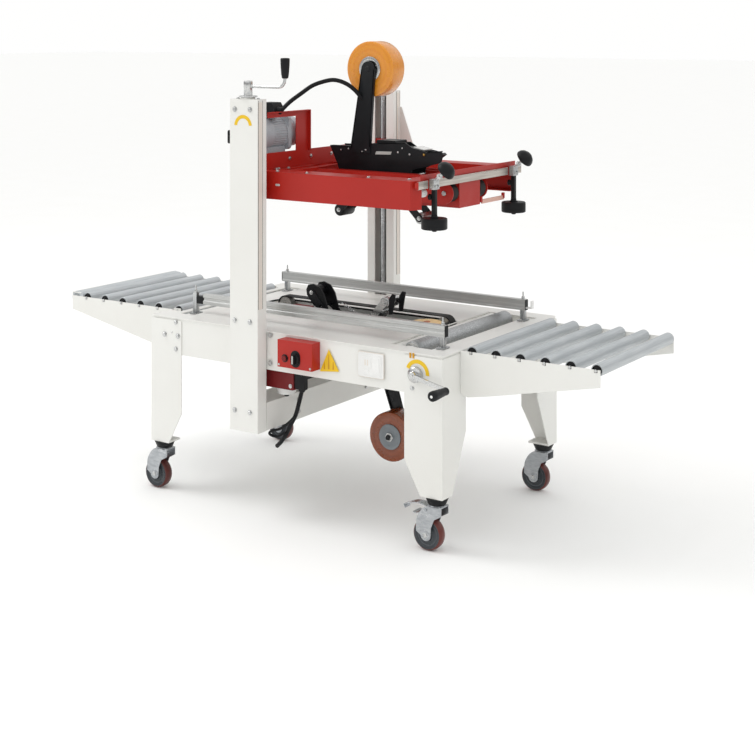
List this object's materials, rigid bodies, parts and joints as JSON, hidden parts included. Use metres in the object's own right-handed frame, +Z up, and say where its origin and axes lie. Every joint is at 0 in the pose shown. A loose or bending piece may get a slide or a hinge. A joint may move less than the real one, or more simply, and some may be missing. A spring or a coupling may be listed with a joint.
{
  "type": "carton sealing machine",
  "caption": "Twin-belt carton taper: wheeled roller table with two columns, a height-adjustable taping head, guide rails and cranks.",
  "frame": {"origin": "centre of the footprint, on the floor", "axes": "+X is the way cartons travel, -Y is the operator's side with the controls, +Z is up"},
  "size_m": [2.124, 0.9086, 1.5345],
  "materials": {
    "white_paint": "satin ivory white powder coat",
    "red_paint": "satin red powder coat",
    "black_steel": "satin black paint on sheet steel",
    "bright_steel": "bright turned steel",
    "zinc_plate": "zinc-plated pressed steel",
    "wheel_tread": "dark red-brown polyurethane",
    "rail_aluminium": "satin anodised",
    "belt_rubber": "matt black rubber",
    "black_plastic": "black moulded plastic",
    "motor_casing": "cast aluminium, painted grey",
    "tape_amber": "wound amber tape",
    "tape_brown": "wound brown tape",
    "roller_tube": "grey roller tube"
  },
  "bodies": {
    "machine_base": {"bed_frame": "white_paint", "front_infeed_leg": "white_paint", "front_outfeed_leg": "white_paint", "rear_infeed_leg": "white_paint", "rear_outfeed_leg": "white_paint", "front_column": "white_paint", "rear_column": "white_paint", "lower_cross_beam": "white_paint", "infeed_roller_frame": "white_paint", "outfeed_roller_frame": "white_paint", "control_box": "red_paint", "lower_motor": "red_paint", "lower_taping_unit": "black_steel", "lower_front_belt": "belt_rubber", "lower_rear_belt": "belt_rubber"},
    "taping_head": {"head_frame": "red_paint", "upper_motor": "motor_casing", "upper_taping_unit": "black_steel", "upper_front_belt": "belt_rubber", "upper_rear_belt": "belt_rubber"},
    "lift_crank": {"lift_crank": "bright_steel"},
    "rear_lift_screw": {"rear_lift_screw": "bright_steel"},
    "front_guide_rail": {"front_guide_rail": "rail_aluminium"},
    "rear_guide_rail": {"rear_guide_rail": "rail_aluminium"},
    "rail_crank": {"rail_crank": "bright_steel"},
    "front_presser": {"front_presser": "black_plastic"},
    "rear_presser": {"rear_presser": "black_plastic"},
    "upper_laying_arm": {"upper_laying_arm": "black_steel"},
    "upper_wiping_arm": {"upper_wiping_arm": "black_steel"},
    "lower_laying_arm": {"lower_laying_arm": "black_steel"},
    "lower_wiping_arm": {"lower_wiping_arm": "black_steel"},
    "selector_switch": {"selector_switch": "black_plastic"},
    "push_button": {"push_button": "black_plastic"},
    "upper_tape_roll": {"upper_tape_roll": "tape_amber"},
    "lower_tape_roll": {"lower_tape_roll": "tape_brown"},
    "upper_drive_shaft": {"upper_drive_shaft": "bright_steel"},
    "upper_idler_shaft": {"upper_idler_shaft": "bright_steel"},
    "lower_drive_shaft": {"lower_drive_shaft": "bright_steel"},
    "lower_idler_shaft": {"lower_idler_shaft": "bright_steel"},
    "front_infeed_caster_fork": {"front_infeed_caster_fork": "zinc_plate"},
    "front_infeed_caster_wheel": {"front_infeed_caster_wheel": "wheel_tread"},
    "front_outfeed_caster_fork": {"front_outfeed_caster_fork": "zinc_plate"},
    "front_outfeed_caster_wheel": {"front_outfeed_caster_wheel": "wheel_tread"},
    "rear_infeed_caster_fork": {"rear_infeed_caster_fork": "zinc_plate"},
    "rear_infeed_caster_wheel": {"rear_infeed_caster_wheel": "wheel_tread"},
    "rear_outfeed_caster_fork": {"rear_outfeed_caster_fork": "zinc_plate"},
    "rear_outfeed_caster_wheel": {"rear_outfeed_caster_wheel": "wheel_tread"},
    "bed_roller": {"bed_roller": "roller_tube"},
    "infeed_roller_1": {"infeed_roller_1": "roller_tube"},
    "infeed_roller_2": {"infeed_roller_2": "roller_tube"},
    "infeed_roller_3": {"infeed_roller_3": "roller_tube"},
    "infeed_roller_4": {"infeed_roller_4": "roller_tube"},
    "infeed_roller_5": {"infeed_roller_5": "roller_tube"},
    "infeed_roller_6": {"infeed_roller_6": "roller_tube"},
    "outfeed_roller_1": {"outfeed_roller_1": "roller_tube"},
    "outfeed_roller_2": {"outfeed_roller_2": "roller_tube"},
    "outfeed_roller_3": {"outfeed_roller_3": "roller_tube"},
    "outfeed_roller_4": {"outfeed_roller_4": "roller_tube"},
    "outfeed_roller_5": {"outfeed_roller_5": "roller_tube"},
    "outfeed_roller_6": {"outfeed_roller_6": "roller_tube"}
  },
  "joints": [
    {"name": "head_lift", "type": "slide", "parent": "machine_base", "child": "taping_head", "axis": [0, 0, 1], "range_m": [-0.21, 0.03]},
    {"name": "front_guide_slide", "type": "slide", "parent": "machine_base", "child": "front_guide_rail", "axis": [0, 1, 0], "range_m": [0, 0.17]},
    {"name": "front_presser_slide", "type": "slide", "parent": "taping_head", "child": "front_presser", "axis": [0, 1, 0], "range_m": [0, 0.13]},
    {"name": "rear_presser_slide", "type": "slide", "parent": "taping_head", "child": "rear_presser", "axis": [0, -1, 0], "range_m": [0, 0.13]},
    {"name": "upper_laying_arm_swing", "type": "hinge", "parent": "taping_head", "child": "upper_laying_arm", "pos_m": [0.0445, 0.03325, 1.03], "axis": [0, 1, 0], "range_deg": [0, 30]},
    {"name": "lower_laying_arm_swing", "type": "hinge", "parent": "machine_base", "child": "lower_laying_arm", "pos_m": [-0.0695, 0.03325, 0.577], "axis": [0, -1, 0], "range_deg": [0, 30]},
    {"name": "selector_switch_turn", "type": "hinge", "parent": "machine_base", "child": "selector_switch", "pos_m": [0.0715, -0.38175, 0.532], "axis": [0, 1, 0], "range_deg": [-45, 45]},
    {"name": "push_button_press", "type": "slide", "parent": "machine_base", "child": "push_button", "axis": [0, 1, 0], "range_m": [0, 0.003]},
    {"name": "upper_tape_roll_spin", "type": "hinge", "parent": "taping_head", "child": "upper_tape_roll", "pos_m": [0.0985, 0.03325, 1.441], "axis": [0, 1, 0], "continuous": true},
    {"name": "lower_tape_roll_spin", "type": "hinge", "parent": "machine_base", "child": "lower_tape_roll", "pos_m": [0.1795, 0.03325, 0.215], "axis": [0, 1, 0], "continuous": true},
    {"name": "upper_drive_shaft_spin", "type": "hinge", "parent": "taping_head", "child": "upper_drive_shaft", "pos_m": [-0.1935, 0.03325, 1.051], "axis": [0, 1, 0], "continuous": true},
    {"name": "lower_drive_shaft_spin", "type": "hinge", "parent": "machine_base", "child": "lower_drive_shaft", "pos_m": [-0.3425, 0.03325, 0.586], "axis": [0, 1, 0], "continuous": true},
    {"name": "front_infeed_caster_swivel", "type": "hinge", "parent": "machine_base", "child": "front_infeed_caster_fork", "pos_m": [-0.5415, -0.31225, 0.15], "axis": [0, 0, 1], "continuous": true},
    {"name": "front_infeed_caster_wheel_spin", "type": "hinge", "parent": "front_infeed_caster_fork", "child": "front_infeed_caster_wheel", "pos_m": [-0.5695, -0.31225, 0.05], "axis": [0, 1, 0], "continuous": true},
    {"name": "front_outfeed_caster_swivel", "type": "hinge", "parent": "machine_base", "child": "front_outfeed_caster_fork", "pos_m": [0.5545, -0.31225, 0.15], "axis": [0, 0, 1], "continuous": true},
    {"name": "front_outfeed_caster_wheel_spin", "type": "hinge", "parent": "front_outfeed_caster_fork", "child": "front_outfeed_caster_wheel", "pos_m": [0.5265, -0.31225, 0.05], "axis": [0, 1, 0], "continuous": true},
    {"name": "rear_infeed_caster_swivel", "type": "hinge", "parent": "machine_base", "child": "rear_infeed_caster_fork", "pos_m": [-0.5415, 0.37875, 0.15], "axis": [0, 0, 1], "continuous": true},
    {"name": "rear_infeed_caster_wheel_spin", "type": "hinge", "parent": "rear_infeed_caster_fork", "child": "rear_infeed_caster_wheel", "pos_m": [-0.5695, 0.37875, 0.05], "axis": [0, 1, 0], "continuous": true},
    {"name": "rear_outfeed_caster_swivel", "type": "hinge", "parent": "machine_base", "child": "rear_outfeed_caster_fork", "pos_m": [0.5545, 0.37875, 0.15], "axis": [0, 0, 1], "continuous": true},
    {"name": "rear_outfeed_caster_wheel_spin", "type": "hinge", "parent": "rear_outfeed_caster_fork", "child": "rear_outfeed_caster_wheel", "pos_m": [0.5265, 0.37875, 0.05], "axis": [0, 1, 0], "continuous": true},
    {"name": "lift_crank_turn", "type": "hinge", "parent": "machine_base", "child": "lift_crank", "pos_m": [-0.1335, -0.36475, 1.349], "axis": [0, 0, -1], "range_deg": [-7570, 1090]},
    {"name": "rear_lift_screw_turn", "type": "hinge", "parent": "machine_base", "child": "rear_lift_screw", "pos_m": [-0.1335, 0.43125, 1.349], "axis": [0, 0, -1], "range_deg": [-7570, 1090]},
    {"name": "rear_guide_slide", "type": "slide", "parent": "machine_base", "child": "rear_guide_rail", "axis": [0, -1, 0], "range_m": [0, 0.17]},
    {"name": "rail_crank_turn", "type": "hinge", "parent": "machine_base", "child": "rail_crank", "pos_m": [0.4985, -0.34275, 0.533], "axis": [0, 1, 0], "range_deg": [-10, 6130]},
    {"name": "upper_wiping_arm_swing", "type": "hinge", "parent": "taping_head", "child": "upper_wiping_arm", "pos_m": [0.2185, 0.03325, 1.03], "axis": [0, -1, 0], "range_deg": [0, 30]},
    {"name": "lower_wiping_arm_swing", "type": "hinge", "parent": "machine_base", "child": "lower_wiping_arm", "pos_m": [0.0785, 0.03325, 0.577], "axis": [0, 1, 0], "range_deg": [0, 30]},
    {"name": "upper_idler_shaft_spin", "type": "hinge", "parent": "taping_head", "child": "upper_idler_shaft", "pos_m": [0.4355, 0.03325, 1.051], "axis": [0, 1, 0], "continuous": true},
    {"name": "lower_idler_shaft_spin", "type": "hinge", "parent": "machine_base", "child": "lower_idler_shaft", "pos_m": [0.3225, 0.03325, 0.586], "axis": [0, 1, 0], "continuous": true},
    {"name": "bed_roller_spin", "type": "hinge", "parent": "machine_base", "child": "bed_roller", "pos_m": [0.4345, 0.03325, 0.581], "axis": [0, 1, 0], "continuous": true},
    {"name": "infeed_roller_1_spin", "type": "hinge", "parent": "machine_base", "child": "infeed_roller_1", "pos_m": [-0.5515, 0.03325, 0.594], "axis": [0, 1, 0], "continuous": true},
    {"name": "infeed_roller_2_spin", "type": "hinge", "parent": "machine_base", "child": "infeed_roller_2", "pos_m": [-0.6455, 0.03325, 0.594], "axis": [0, 1, 0], "continuous": true},
    {"name": "infeed_roller_3_spin", "type": "hinge", "parent": "machine_base", "child": "infeed_roller_3", "pos_m": [-0.73225, 0.03325, 0.594], "axis": [0, 1, 0], "continuous": true},
    {"name": "infeed_roller_4_spin", "type": "hinge", "parent": "machine_base", "child": "infeed_roller_4", "pos_m": [-0.819, 0.03325, 0.594], "axis": [0, 1, 0], "continuous": true},
    {"name": "infeed_roller_5_spin", "type": "hinge", "parent": "machine_base", "child": "infeed_roller_5", "pos_m": [-0.90575, 0.03325, 0.594], "axis": [0, 1, 0], "continuous": true},
    {"name": "infeed_roller_6_spin", "type": "hinge", "parent": "machine_base", "child": "infeed_roller_6", "pos_m": [-0.9925, 0.03325, 0.594], "axis": [0, 1, 0], "continuous": true},
    {"name": "outfeed_roller_1_spin", "type": "hinge", "parent": "machine_base", "child": "outfeed_roller_1", "pos_m": [0.628, 0.03325, 0.594], "axis": [0, 1, 0], "continuous": true},
    {"name": "outfeed_roller_2_spin", "type": "hinge", "parent": "machine_base", "child": "outfeed_roller_2", "pos_m": [0.711, 0.03325, 0.594], "axis": [0, 1, 0], "continuous": true},
    {"name": "outfeed_roller_3_spin", "type": "hinge", "parent": "machine_base", "child": "outfeed_roller_3", "pos_m": [0.794, 0.03325, 0.594], "axis": [0, 1, 0], "continuous": true},
    {"name": "outfeed_roller_4_spin", "type": "hinge", "parent": "machine_base", "child": "outfeed_roller_4", "pos_m": [0.877, 0.03325, 0.594], "axis": [0, 1, 0], "continuous": true},
    {"name": "outfeed_roller_5_spin", "type": "hinge", "parent": "machine_base", "child": "outfeed_roller_5", "pos_m": [0.96, 0.03325, 0.594], "axis": [0, 1, 0], "continuous": true},
    {"name": "outfeed_roller_6_spin", "type": "hinge", "parent": "machine_base", "child": "outfeed_roller_6", "pos_m": [1.043, 0.03325, 0.594], "axis": [0, 1, 0], "continuous": true}
  ],
  "couplings": [
    {"joint": "lift_crank_turn", "follows": "head_lift", "rad_per_m": 628.32},
    {"joint": "rear_lift_screw_turn", "follows": "head_lift", "rad_per_m": 628.32},
    {"joint": "rear_guide_slide", "follows": "front_guide_slide", "ratio": 1},
    {"joint": "rail_crank_turn", "follows": "front_guide_slide", "rad_per_m": 628.32},
    {"joint": "upper_wiping_arm_swing", "follows": "upper_laying_arm_swing", "ratio": 1},
    {"joint": "lower_wiping_arm_swing", "follows": "lower_laying_arm_swing", "ratio": 1},
    {"joint": "upper_idler_shaft_spin", "follows": "upper_drive_shaft_spin", "ratio": 1},
    {"joint": "lower_idler_shaft_spin", "follows": "lower_drive_shaft_spin", "ratio": 1}
  ]
}
